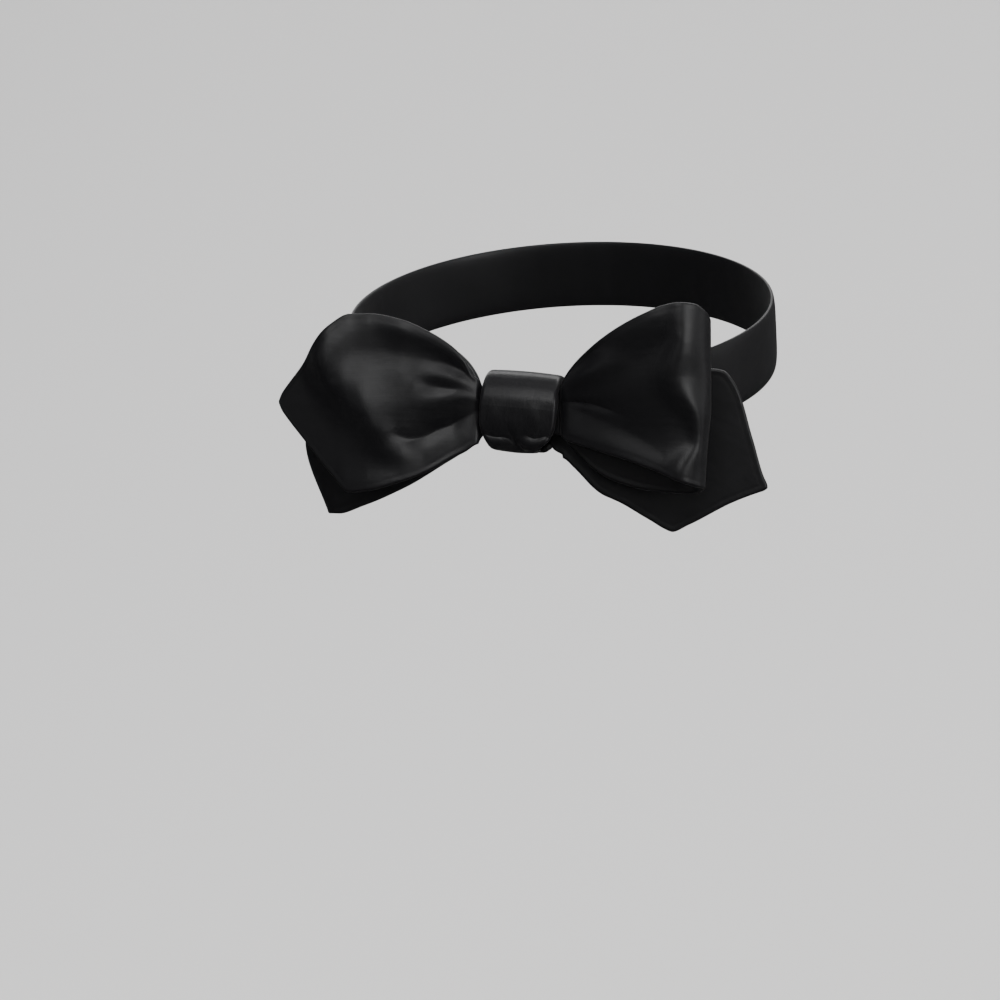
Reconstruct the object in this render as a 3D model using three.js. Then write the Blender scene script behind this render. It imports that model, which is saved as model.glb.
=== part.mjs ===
// Self-tied bow tie with diamond-point ends, worn round a neck, in millimetres.
// +X runs to the wearer's left, -Y to the front and +Z up. The origin is the middle of the neck opening.
// The neckband drops to the front, where a knot holds the front bow and the rear bow. Each bow is a strip
// with a pointed end on one side of the knot and a folded loop on the other.
import * as THREE from "three";

// Neck opening and neckband
const neckHalfWidth = 59;
const neckHalfDepth = 61;
const bandWidth = 20;
const bandThickness = 1.8;
const bandTiltDegrees = 20;
const bandSpread = 34; // distance beside the knot over which the band opens to its full width

// Cloth and the clearance between pieces
const clothThickness = 1.6;
const clearance = 0.45;

// Knot
const knotWidth = 20.8;
const knotHeight = 21.4;
const knotWall = 2.2;
const knotRollDegrees = 5;
const knotCreaseDepth = 0.9;

// Front bow
const frontPointReach = 66.2;
const frontPointWidth = 48;
const frontPointPuff = 12; // how far the pointed end swells forward
const frontLoopReach = 51;
const frontLoopHeight = 51;
const frontLoopPuff = 12;
const frontLoopRound = 9; // radius of the fold where it is widest

// Rear bow
const rearPointReach = 68;
const rearPointWidth = 46;
const rearPointTiltDegrees = 18;
const rearPointSweep = 10; // how far the tip lies behind the root
const rearLoopReach = 60.5;
const rearLoopHeight = 51;
const rearLoopPuff = 4;
const rearLoopRound = 3;

// Folds that run out of the knot
const foldDepth = 4;
const rootFold = 0.35; // share of a fold's depth that is left inside the knot

// In every table below, out is 0 at the knot's side, 1 at the far end and -1 at the knot's middle,
// and across is 1 at the upper edge and -1 at the lower. Lengths are shares of the sizes above. The
// cloth's edges inside the knot follow from the room in it.

// Height of each edge as a share of half the width, forward as a share of the puff. A corner turns sharply.
const frontPointRows = [
  { out: 0.015, top: 0.41, bottom: -0.38, forward: 0.03 },
  { out: 0.05, top: 0.57, bottom: -0.44, forward: 0.22 },
  { out: 0.11, top: 0.73, bottom: -0.51, forward: 0.43 },
  { out: 0.23, top: 0.91, bottom: -0.67, forward: 0.62 },
  { out: 0.365, top: 1.04, bottom: -0.79, forward: 0.74 },
  { out: 0.51, top: 1.1, bottom: -0.88, forward: 0.74 },
  { out: 0.615, top: 1.1, bottom: -0.9, forward: 0.65, corner: true },
  { out: 0.705, top: 0.99, bottom: -0.72, forward: 0.55 },
  { out: 0.86, top: 0.56, bottom: -0.32, forward: 0.33 },
  { out: 0.97, top: 0.26, bottom: -0.02, forward: 0.14, corner: true },
  { out: 1, top: 0.16, bottom: 0.08, forward: 0.1 },
];
const rearPointRows = [
  { out: -0.3, top: 0.27, bottom: -0.43, forward: 0 },
  { out: 0.01, top: 0.3, bottom: -0.54, forward: 0 },
  { out: 0.07, top: 0.52, bottom: -0.6, forward: -0.03 },
  { out: 0.18, top: 0.74, bottom: -0.62, forward: -0.15 },
  { out: 0.35, top: 0.97, bottom: -0.66, forward: -0.38 },
  { out: 0.51, top: 1.11, bottom: -0.75, forward: -0.6 },
  { out: 0.63, top: 1.18, bottom: -0.81, forward: -0.74, corner: true },
  { out: 0.7, top: 1.08, bottom: -0.67, forward: -0.8 },
  { out: 0.86, top: 0.53, bottom: -0.27, forward: -0.92 },
  { out: 0.97, top: 0.13, bottom: -0.05, forward: -1, corner: true },
  { out: 1, top: 0.06, bottom: 0, forward: -1 },
];

// A loop's layers are read along the strip, from 0 at the fold to 1 at the knot's side. Heights are shares
// of half the loop's height.
const frontLoopFrontRows = [
  { along: 0, top: 0.98, bottom: -0.8 },
  { along: 0.1, top: 1.06, bottom: -0.79 },
  { along: 0.2, top: 1.12, bottom: -0.76 },
  { along: 0.3, top: 1.13, bottom: -0.71 },
  { along: 0.4, top: 1.1, bottom: -0.64 },
  { along: 0.5, top: 1.02, bottom: -0.57 },
  { along: 0.6, top: 0.92, bottom: -0.5 },
  { along: 0.7, top: 0.8, bottom: -0.44 },
  { along: 0.8, top: 0.66, bottom: -0.38 },
  { along: 0.9, top: 0.5, bottom: -0.33 },
  { along: 0.96, top: 0.37, bottom: -0.3 },
];
const frontLoopBackRows = [
  { along: 0, top: 0.98, bottom: -0.81 },
  { along: 0.15, top: 0.94, bottom: -0.85 },
  { along: 0.3, top: 0.91, bottom: -0.86 },
  { along: 0.5, top: 0.83, bottom: -0.83 },
  { along: 0.7, top: 0.65, bottom: -0.72 },
  { along: 0.8, top: 0.53, bottom: -0.61 },
  { along: 0.9, top: 0.4, bottom: -0.44 },
  { along: 0.96, top: 0.34, bottom: -0.35 },
];
const rearLoopFrontRows = [
  { along: 0, top: 0.9, bottom: -1.08 },
  { along: 0.2, top: 0.95, bottom: -1.08 },
  { along: 0.4, top: 0.97, bottom: -0.98 },
  { along: 0.6, top: 0.92, bottom: -0.8 },
  { along: 0.8, top: 0.72, bottom: -0.54 },
  { along: 0.9, top: 0.55, bottom: -0.41 },
  { along: 0.96, top: 0.4, bottom: -0.34 },
];
const rearLoopBackRows = [
  { along: 0, top: 0.9, bottom: -1.08 },
  { along: 0.2, top: 0.9, bottom: -1.06 },
  { along: 0.4, top: 0.91, bottom: -0.94 },
  { along: 0.6, top: 0.88, bottom: -0.76 },
  { along: 0.8, top: 0.71, bottom: -0.52 },
  { along: 0.9, top: 0.56, bottom: -0.4 },
  { along: 0.96, top: 0.41, bottom: -0.33 },
];

// Shape of a loop seen from above, at heights across it: how far it reaches, how round its fold is, where
// the fold lies in depth, and how far each layer swells, the front forward and the back to the rear.
const frontLoopPlans = [
  { across: -1, reach: 0.965, round: 0.4, fold: -0.34, front: 0.6, back: 0.06 },
  { across: -0.5, reach: 0.98, round: 0.42, fold: -0.36, front: 0.8, back: 0.04 },
  { across: 0, reach: 1, round: 0.6, fold: -0.42, front: 0.95, back: 0.02 },
  { across: 0.5, reach: 1, round: 1, fold: -0.48, front: 1, back: 0.02 },
  { across: 1, reach: 1, round: 1, fold: -0.5, front: 0.9, back: 0.02 },
];
const rearLoopPlans = [
  { across: -1, reach: 0.89, round: 0.8, fold: 1.05, front: 0.1, back: 0.7 },
  { across: -0.2, reach: 1, round: 1, fold: 1.15, front: 0.2, back: 0.8 },
  { across: 0.4, reach: 0.98, round: 1, fold: 1.1, front: 0.2, back: 0.8 },
  { across: 1, reach: 0.9, round: 0.8, fold: 1.05, front: 0.1, back: 0.7 },
];

// Folds and swellings. Each runs from one place to another; lift is a share of the fold depth, towards the
// front where positive, and above and below are its widths on either side.
const frontPointFolds = [
  { name: "edge roll", out0: 0, across0: 0.95, out1: 0.4, across1: 0.98, lift: 0.28, above: 0.1, below: 0.12 },
  { name: "edge furrow", out0: 0, across0: 0.66, out1: 0.5, across1: 0.8, lift: -0.75, above: 0.1, below: 0.2 },
  { name: "middle ridge", out0: 0, across0: 0.4, out1: 0.3, across1: 0.5, lift: 0.3, above: 0.2, below: 0.16 },
  { name: "small furrow", out0: 0.04, across0: 0.42, out1: 0.28, across1: 0.2, lift: -0.42, above: 0.13, below: 0.1 },
  { name: "deep furrow", out0: 0, across0: 0, out1: 0.41, across1: -0.42, lift: -1.1, above: 0.3, below: 0.15 },
  { name: "lower ridge", out0: 0, across0: -0.55, out1: 0.36, across1: -0.76, lift: 0.35, above: 0.2, below: 0.3 },
  { name: "shoulder", out0: 0.3, across0: 0.2, out1: 0.66, across1: 0.62, lift: 0.7, above: 0.6, below: 0.35 },
];
const frontLoopFolds = [
  { name: "upper gather", out0: 0, across0: 0.7, out1: 0.3, across1: 0.35, lift: -0.3, above: 0.16, below: 0.16 },
  { name: "long furrow", out0: 0, across0: 0.3, out1: 0.5, across1: -0.5, lift: -0.75, above: 0.3, below: 0.1 },
  { name: "lower ridge", out0: 0, across0: -0.2, out1: 0.8, across1: -0.72, lift: 0.35, above: 0.2, below: 0.3 },
  { name: "edge dent", out0: 0.72, across0: 0.2, out1: 1, across1: 0.26, lift: -0.6, above: 0.14, below: 0.16 },
];
const rearPointFolds = [
  { name: "furrow", out0: 0, across0: 0.1, out1: 0.4, across1: -0.1, lift: -0.12, above: 0.3, below: 0.25 },
];

// Creases where the knot's wrap is gathered under it: place along the knot as a share of half its width.
const knotCreases = [
  { along: -0.3, width: 0.12, lift: -1 },
  { along: 0.04, width: 0.1, lift: -0.8 },
  { along: 0.22, width: 0.1, lift: 0.5 },
];

// How finely the cloth is drawn
const acrossSteps = 14;
const stepsPerRow = 2;
const loopSteps = 18;
const rootSteps = 2;
const bandSteps = 72;
const bandAcrossSteps = 2;
const knotSteps = 32;
const knotAcrossSteps = 12;

const mix = THREE.MathUtils.lerp;
const clamp = THREE.MathUtils.clamp;
const degrees = THREE.MathUtils.degToRad;

function ease(at, from, to) {
  return THREE.MathUtils.smoothstep(at, from, to);
}

// Reads one column of a table between its rows, on a curve that never overshoots them.
function read(rows, key, column, at) {
  let i = 0;
  while (i < rows.length - 2 && at > rows[i + 1][key]) i += 1;
  const rise = (k) => (rows[k + 1][column] - rows[k][column]) / (rows[k + 1][key] - rows[k][key]);
  const slopeAt = (k) => {
    if (k === 0 || k === rows.length - 1 || rows[k].corner) return rise(i);
    const before = rise(k - 1);
    const after = rise(k);
    return before * after > 0 ? (2 * before * after) / (before + after) : 0;
  };
  const span = rows[i + 1][key] - rows[i][key];
  const p = clamp((at - rows[i][key]) / span, 0, 1);
  const q = 1 - p;
  return (
    q * q * (1 + 2 * p) * rows[i][column] +
    p * p * (1 + 2 * q) * rows[i + 1][column] +
    p * q * span * (q * slopeAt(i) - p * slopeAt(i + 1))
  );
}

// Depth that the folds add at a place, towards the front.
function foldLift(folds, out, across) {
  let lift = 0;
  for (const fold of folds) {
    const share = (out - fold.out0) / (fold.out1 - fold.out0);
    const away = across - mix(fold.across0, fold.across1, clamp(share, 0, 1));
    const width = away > 0 ? fold.above : fold.below;
    const start = fold.out0 > 0 ? ease(share, -0.4, 0.3) : mix(rootFold, 1, ease(share, 0, 0.35));
    const finish = 1 - ease(share, 0.62, 1.25);
    lift += fold.lift * Math.exp(-((away / width) ** 2)) * start * finish;
  }
  return lift * foldDepth;
}

// Depth of each layer in the knot, from the front: the pleated front layer, two plain layers and the band.
const knotHalf = knotWidth / 2;
const knotRoll = degrees(knotRollDegrees);
const knotSide = knotHalf * Math.cos(knotRoll) + (knotHeight / 2) * Math.sin(knotRoll);
const knotLean = knotHalf * Math.sin(knotRoll);
const knotMouth = knotHeight / 2 - knotWall - knotCreaseDepth - knotLean - clearance; // half the cloth's height in it
const pleatRoom = 2 * rootFold * foldDepth;
const tilt = degrees(bandTiltDegrees);
const ringHalfWidth = neckHalfWidth + bandThickness / 2;
const ringHalfDepth = neckHalfDepth + bandThickness / 2;
const bandSag = ringHalfDepth * (1 - Math.sqrt(1 - (knotSide / ringHalfWidth) ** 2));
const knotRoom = pleatRoom + 3 * clothThickness + bandThickness + bandSag + 5 * clearance;
const frontSlot = -knotRoom / 2 + clearance + (pleatRoom + clothThickness) / 2;
const middleSlot = frontSlot + (pleatRoom + clothThickness) / 2 + clearance + clothThickness / 2;
const rearSlot = middleSlot + clothThickness + clearance;
const bandSlot = rearSlot + clothThickness / 2 + clearance + bandThickness / 2;
const knotCentre = new THREE.Vector3(
  0,
  -ringHalfDepth * Math.cos(tilt) - bandSlot,
  -ringHalfDepth * Math.sin(tilt),
);

// Distance from the knot's middle at a place out along a wing.
function spanAt(out, reach) {
  return out < 0 ? mix(clearance / 2, knotSide, 1 + out) : mix(knotSide, reach, out);
}

// The row of a table that holds the cloth's edges at a place inside the knot.
function rootRow(key, at, width) {
  const share = knotMouth / (width / 2);
  return { [key]: at, top: share, bottom: -share, forward: 0 };
}

// Turns a sheet's middle surface into a closed solid: a face on either side and a rim round the edges.
function clothSolid(pointAt, alongStops, acrossStops, thickness, closed = false) {
  const rows = alongStops.length;
  const columns = acrossStops.length;
  const grid = alongStops.map((along) => acrossStops.map((across) => pointAt(along, across)));
  const wrap = (i) => (closed ? (i + rows) % rows : clamp(i, 0, rows - 1));
  const positions = [];
  for (const side of [1, -1]) {
    for (let i = 0; i < rows; i += 1) {
      for (let j = 0; j < columns; j += 1) {
        const alongWay = grid[wrap(i + 1)][j].clone().sub(grid[wrap(i - 1)][j]);
        const before = grid[i][Math.max(j - 1, 0)];
        const acrossWay = grid[i][Math.min(j + 1, columns - 1)].clone().sub(before);
        const normal = alongWay.cross(acrossWay).normalize();
        positions.push(...grid[i][j].clone().addScaledVector(normal, (side * thickness) / 2));
      }
    }
  }
  const faces = [];
  const quad = (a, b, c, d) => faces.push(a, b, c, a, c, d);
  const front = (i, j) => wrap(i) * columns + j;
  const back = (i, j) => rows * columns + front(i, j);
  const strips = closed ? rows : rows - 1;
  for (let i = 0; i < strips; i += 1) {
    for (let j = 0; j < columns - 1; j += 1) {
      quad(front(i, j), front(i + 1, j), front(i + 1, j + 1), front(i, j + 1));
      quad(back(i, j), back(i, j + 1), back(i + 1, j + 1), back(i + 1, j));
    }
    const last = columns - 1;
    quad(front(i, 0), back(i, 0), back(i + 1, 0), front(i + 1, 0));
    quad(front(i, last), front(i + 1, last), back(i + 1, last), back(i, last));
  }
  if (!closed) {
    const end = rows - 1;
    for (let j = 0; j < columns - 1; j += 1) {
      quad(front(0, j), front(0, j + 1), back(0, j + 1), back(0, j));
      quad(front(end, j), back(end, j), back(end, j + 1), front(end, j + 1));
    }
  }
  const geometry = new THREE.BufferGeometry();
  geometry.setAttribute("position", new THREE.Float32BufferAttribute(positions, 3));
  geometry.setIndex(faces);
  geometry.computeVertexNormals();
  return geometry;
}

function evenStops(from, to, steps) {
  return Array.from({ length: steps + 1 }, (_, i) => mix(from, to, i / steps));
}

// Stops at every row of a table and evenly between them.
function stopsOf(rows, key) {
  const stops = [rows[0][key]];
  for (let i = 1; i < rows.length; i += 1) {
    stops.push(...evenStops(rows[i - 1][key], rows[i][key], stepsPerRow).slice(1));
  }
  return stops;
}

const acrossStops = evenStops(-1, 1, acrossSteps);

// A pointed end: a blade that leaves the knot, widens to its shoulders and closes in a blunt point.
function pointedEnd({ side, rows: freeRows, folds, reach, width, slot, puff, turn }) {
  const rows = [rootRow("out", -1, width), rootRow("out", freeRows[0].out - 0.3, width), ...freeRows];
  const pointAt = (out, across) => {
    const span = spanAt(out, reach);
    const top = (read(rows, "out", "top", out) * width) / 2;
    const bottom = (read(rows, "out", "bottom", out) * width) / 2;
    const height = mix(bottom, top, (across + 1) / 2);
    const depth = slot - read(rows, "out", "forward", out) * puff - foldLift(folds, out, across);
    const angle = degrees(turn) * ease(out, -0.1, 0.3);
    return new THREE.Vector3(
      side * (span * Math.cos(angle) + height * Math.sin(angle)),
      depth,
      height * Math.cos(angle) - span * Math.sin(angle),
    );
  };
  return clothSolid(pointAt, stopsOf(rows, "out"), acrossStops, clothThickness);
}

// A point on a cubic curve.
function bezier(a, b, c, d, p) {
  const q = 1 - p;
  return q * q * q * a + 3 * q * q * p * b + 3 * q * p * p * c + p * p * p * d;
}

// A folded loop: the strip leaves the knot at the back, turns round the fold and comes back in front.
// Its place along is -1 at the knot's side at the back, 0 at the fold and 1 at the knot's side in front.
function foldedLoop({ side, frontRows, backRows, plans, folds, reach, height, puff, round, frontAt, backAt }) {
  const rootShare = 0.2;
  const layers = [frontRows, backRows].map((rows) => [...rows, rootRow("along", 1, height)]);
  const pointAt = (along, across) => {
    const inFront = along > 0;
    const p = Math.min(Math.abs(along), 1);
    const plan = (column) => read(plans, "across", column, across);
    const reachHere = plan("reach") * reach;
    const handle = mix(knotSide, reach, 0.28);
    const turn = Math.sqrt((plan("round") * round * (reachHere - handle)) / 1.5);
    const slot = inFront ? frontAt : backAt;
    const way = inFront ? -1 : 1;
    const fold = plan("fold") * puff;
    const swell = slot + way * (inFront ? plan("front") : plan("back")) * puff;
    const rows = inFront ? layers[0] : layers[1];
    let span = bezier(reachHere, reachHere, handle, knotSide, p);
    let depth = bezier(fold, fold + way * turn, swell, slot, p);
    if (inFront) {
      const out = clamp((span - knotSide) / (reach - knotSide), 0, 1);
      depth -= foldLift(folds, out, across) * ease(p, 0, 0.12);
    }
    const inside = (Math.abs(along) - 1) / rootShare;
    if (inside > 0) span = mix(knotSide, clearance / 2, inside);
    const top = (read(rows, "along", "top", p) * height) / 2;
    const bottom = (read(rows, "along", "bottom", p) * height) / 2;
    return new THREE.Vector3(side * span, depth, mix(bottom, top, (across + 1) / 2));
  };
  const out = evenStops(0, 1, loopSteps);
  const root = evenStops(1, 1 + rootShare, rootSteps).slice(1);
  const half = [...out, ...root];
  const stops = [...half.slice(1).reverse().map((v) => -v), ...half];
  return clothSolid(pointAt, stops, acrossStops, clothThickness);
}

// The knot's wrap: a sleeve across the bows whose ends draw in under the knot, where it is gathered.
function knotSleeve() {
  const halfDepth = knotRoom / 2 + knotWall / 2;
  const halfHeight = knotHeight / 2 - knotWall / 2;
  const squareness = 4.5;
  const pointAt = (around, along) => {
    const cosine = Math.cos(around);
    const sine = Math.sin(around);
    const under = ease(-sine, 0.45, 1);
    const drawnIn = along > 0 ? 0.6 : 0.42;
    const middle = along * knotHalf * (1 - drawnIn * under);
    let crease = 0;
    for (const { along: at, width, lift } of knotCreases) {
      crease += lift * Math.exp(-(((along - at) / width) ** 2));
    }
    crease *= knotCreaseDepth * under * (cosine > -0.2 ? 1 : 0.3);
    const power = 2 / squareness;
    const y = -Math.sign(cosine) * Math.abs(cosine) ** power * (halfDepth + crease);
    const z = Math.sign(sine) * Math.abs(sine) ** power * (halfHeight + crease);
    return new THREE.Vector3(middle, y, z);
  };
  const stops = Array.from({ length: knotSteps }, (_, i) => (i / knotSteps) * 2 * Math.PI);
  return clothSolid(pointAt, stops, evenStops(-1, 1, knotAcrossSteps), knotWall, true);
}

// The neckband: a flat strip round the neck, gathered where it passes through the knot.
function neckLoop() {
  const upright = new THREE.Vector3(0, 0, 1);
  const ringAxis = new THREE.Vector3(0, -Math.sin(tilt), Math.cos(tilt));
  const gatheredHalf = knotMouth * 0.6;
  const pointAt = (around, across) => {
    const centre = new THREE.Vector3(
      ringHalfWidth * Math.sin(around),
      -ringHalfDepth * Math.cos(around) * Math.cos(tilt),
      -ringHalfDepth * Math.cos(around) * Math.sin(tilt),
    );
    const beside = Math.cos(around) > 0 ? Math.abs(centre.x) - knotSide : bandSpread;
    const open = ease(beside, 0, bandSpread);
    const widthWay = upright.clone().lerp(ringAxis, open).normalize();
    return centre.addScaledVector(widthWay, across * mix(gatheredHalf, bandWidth / 2, open));
  };
  const stops = Array.from({ length: bandSteps }, (_, i) => (i / bandSteps) * 2 * Math.PI);
  return clothSolid(pointAt, stops, evenStops(-1, 1, bandAcrossSteps), bandThickness, true);
}

const blackSatin = new THREE.MeshStandardMaterial({ color: 0x16161a, roughness: 0.4, metalness: 0 });
const bandSatin = new THREE.MeshStandardMaterial({ color: 0x141417, roughness: 0.45, metalness: 0 });

function piece(name, geometry, material) {
  const mesh = new THREE.Mesh(geometry, material);
  mesh.name = name;
  return mesh;
}

const bowTie = new THREE.Group();
bowTie.add(piece("neckband", neckLoop(), bandSatin));

const bow = new THREE.Group();
bow.position.copy(knotCentre);
bowTie.add(bow);

const knot = piece("knot", knotSleeve(), blackSatin);
knot.rotation.y = knotRoll;
bow.add(knot);

bow.add(
  piece(
    "front_point",
    pointedEnd({
      side: -1,
      rows: frontPointRows,
      folds: frontPointFolds,
      reach: frontPointReach,
      width: frontPointWidth,
      slot: frontSlot,
      puff: frontPointPuff,
      turn: 0,
    }),
    blackSatin,
  ),
);
bow.add(
  piece(
    "front_loop",
    foldedLoop({
      side: 1,
      frontRows: frontLoopFrontRows,
      backRows: frontLoopBackRows,
      plans: frontLoopPlans,
      folds: frontLoopFolds,
      reach: frontLoopReach,
      height: frontLoopHeight,
      puff: frontLoopPuff,
      round: frontLoopRound,
      frontAt: frontSlot,
      backAt: middleSlot,
    }),
    blackSatin,
  ),
);
bow.add(
  piece(
    "rear_loop",
    foldedLoop({
      side: -1,
      frontRows: rearLoopFrontRows,
      backRows: rearLoopBackRows,
      plans: rearLoopPlans,
      folds: [],
      reach: rearLoopReach,
      height: rearLoopHeight,
      puff: rearLoopPuff,
      round: rearLoopRound,
      frontAt: middleSlot,
      backAt: rearSlot,
    }),
    blackSatin,
  ),
);
bow.add(
  piece(
    "rear_point",
    pointedEnd({
      side: 1,
      rows: rearPointRows,
      folds: rearPointFolds,
      reach: rearPointReach,
      width: rearPointWidth,
      slot: rearSlot,
      puff: rearPointSweep,
      turn: rearPointTiltDegrees,
    }),
    blackSatin,
  ),
);

export default bowTie;
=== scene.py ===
import math

import bpy
import numpy as np
from bpy.props import FloatProperty, FloatVectorProperty, PointerProperty
from mathutils import Matrix, Vector


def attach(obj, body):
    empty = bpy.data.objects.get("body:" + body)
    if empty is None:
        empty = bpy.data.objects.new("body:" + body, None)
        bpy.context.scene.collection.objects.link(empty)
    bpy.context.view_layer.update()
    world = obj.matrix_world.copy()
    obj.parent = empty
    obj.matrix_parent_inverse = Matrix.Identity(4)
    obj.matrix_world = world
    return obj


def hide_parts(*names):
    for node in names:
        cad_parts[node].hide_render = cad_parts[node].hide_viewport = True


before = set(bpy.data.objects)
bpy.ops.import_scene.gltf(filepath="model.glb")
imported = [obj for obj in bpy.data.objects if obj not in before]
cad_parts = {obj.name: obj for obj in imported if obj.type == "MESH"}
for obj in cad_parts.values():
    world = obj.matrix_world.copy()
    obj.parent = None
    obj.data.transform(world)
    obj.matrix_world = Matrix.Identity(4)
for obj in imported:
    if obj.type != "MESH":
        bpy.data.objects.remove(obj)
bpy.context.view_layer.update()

bl_info = {
    "name": "Diamond Point Bow Tie",
    "version": (1, 0, 0),
    "blender": (4, 5, 0),
    "location": "View3D > Sidebar > Bow Tie",
    "description": "Builds a satin bow tie with diamond-point ends, tied and worn round a neck",
    "category": "Add Mesh",
}

MILLIMETRE = 0.001


# Sizes and colours


def length(name, description, default):
    return FloatProperty(name=name, description=description, default=default, unit="LENGTH", min=0)


def angle(name, description, degrees):
    return FloatProperty(name=name, description=description, default=math.radians(degrees), subtype="ANGLE")


class BowTieSizes(bpy.types.PropertyGroup):
    neck_half_width: length("Neck half width", "Half the neck opening from side to side", 0.059)
    neck_half_depth: length("Neck half depth", "Half the neck opening from front to back", 0.061)
    band_width: length("Band width", "Width of the neckband", 0.02)
    band_thickness: length("Band thickness", "Thickness of the neckband", 0.0018)
    band_tilt: angle("Band tilt", "Slope of the neckband down to the front", 20)
    band_spread: length("Band spread", "Length over which the band opens beside the knot", 0.034)
    cloth_thickness: length("Cloth thickness", "Thickness of the lined satin", 0.0016)
    clearance: length("Clearance", "Gap between layers that touch", 0.00045)
    knot_width: length("Knot width", "Width of the knot", 0.0208)
    knot_height: length("Knot height", "Height of the knot", 0.0214)
    knot_wall: length("Knot wall", "Thickness of the knot's wrap", 0.0022)
    knot_roll: angle("Knot roll", "How far the knot leans to the side", 5)
    fold_depth: length("Fold depth", "Depth of the folds that run into the knot", 0.004)
    front_point_reach: length("Front point reach", "From the knot's middle to the front point's tip", 0.0662)
    front_point_width: length("Front point width", "Width of the front pointed end", 0.048)
    front_point_puff: length("Front point puff", "How far the front point swells forward", 0.012)
    front_loop_reach: length("Front loop reach", "From the knot's middle to the front loop's fold", 0.051)
    front_loop_height: length("Front loop height", "Height of the front loop", 0.051)
    front_loop_puff: length("Front loop puff", "How far the front loop swells forward", 0.012)
    front_loop_round: length("Front loop roundness", "Radius of the front loop's fold", 0.009)
    rear_point_reach: length("Rear point reach", "From the knot's middle to the rear point's tip", 0.068)
    rear_point_width: length("Rear point width", "Width of the rear pointed end", 0.046)
    rear_point_tilt: angle("Rear point tilt", "How far the rear point droops", 18)
    rear_point_sweep: length("Rear point sweep", "How far the rear point's tip lies back", 0.01)
    rear_loop_reach: length("Rear loop reach", "From the knot's middle to the rear loop's fold", 0.0605)
    rear_loop_height: length("Rear loop height", "Height of the rear loop", 0.051)
    rear_loop_puff: length("Rear loop puff", "How far the rear loop swells", 0.004)
    rear_loop_round: length("Rear loop roundness", "Radius of the rear loop's fold", 0.003)


class BowTieFinish(bpy.types.PropertyGroup):
    satin_colour: FloatVectorProperty(
        name="Satin colour",
        description="Colour of the satin",
        default=(0.003, 0.0029, 0.0036),
        subtype="COLOR",
        size=3,
        min=0,
        max=1,
    )
    sheen_colour: FloatVectorProperty(
        name="Thread sheen",
        description="Colour of the threads where they lie closer",
        default=(0.006, 0.0057, 0.0072),
        subtype="COLOR",
        size=3,
        min=0,
        max=1,
    )
    roughness: FloatProperty(
        name="Roughness",
        description="Spread of the satin's highlights",
        default=0.44,
        subtype="FACTOR",
        min=0,
        max=1,
    )
    backdrop_colour: FloatVectorProperty(
        name="Backdrop colour",
        description="Colour of the floor and backdrop",
        default=(0.78, 0.77, 0.75),
        subtype="COLOR",
        size=3,
        min=0,
        max=1,
    )


# Curves and tables


def mix(a, b, share):
    return a + (b - a) * share


def ease(value, start, end):
    share = np.clip((value - start) / (end - start), 0, 1)
    return share * share * (3 - 2 * share)


class Table:
    """Rows under named columns, read on a smooth curve that never overshoots them."""

    def __init__(self, names, *rows):
        self.columns = dict(zip(names.split(), np.array(rows, float).T))
        self.key = self.columns[names.split()[0]]

    def at(self, place, column):
        x, y = self.key, self.columns[column]
        rise = np.diff(y) / np.diff(x)
        before, after = rise[:-1], rise[1:]
        total = np.where(before + after == 0, 1, before + after)
        inner = np.where(before * after > 0, 2 * before * after / total, 0)
        slope = np.concatenate([rise[:1], inner, rise[-1:]])
        i = np.clip(np.searchsorted(x, place) - 1, 0, len(x) - 2)
        span = x[i + 1] - x[i]
        p = np.clip((place - x[i]) / span, 0, 1)
        q = 1 - p
        return (
            q * q * (1 + 2 * p) * y[i]
            + p * p * (1 + 2 * q) * y[i + 1]
            + p * q * span * (q * slope[i] - p * slope[i + 1])
        )

    def with_rows(self, first=(), last=()):
        """The same table with more rows at its start and end."""
        rows = [*first, *np.stack(list(self.columns.values()), axis=1), *last]
        return Table(" ".join(self.columns), *rows)


def smooth_path(rows, steps=8):
    """Rows of numbers joined by a smooth curve."""
    rows = np.array(rows, float)
    ends = np.concatenate([2 * rows[:1] - rows[1:2], rows, 2 * rows[-1:] - rows[-2:-1]])
    points = []
    for i in range(len(rows) - 1):
        a, b, c, d = ends[i : i + 4]
        for p in np.arange(steps) / steps:
            bend = (2 * a - 5 * b + 4 * c - d) * p**2 + (3 * b - a - 3 * c + d) * p**3
            points.append(0.5 * (2 * b + (c - a) * p + bend))
    return np.array([*points, rows[-1]])


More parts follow.
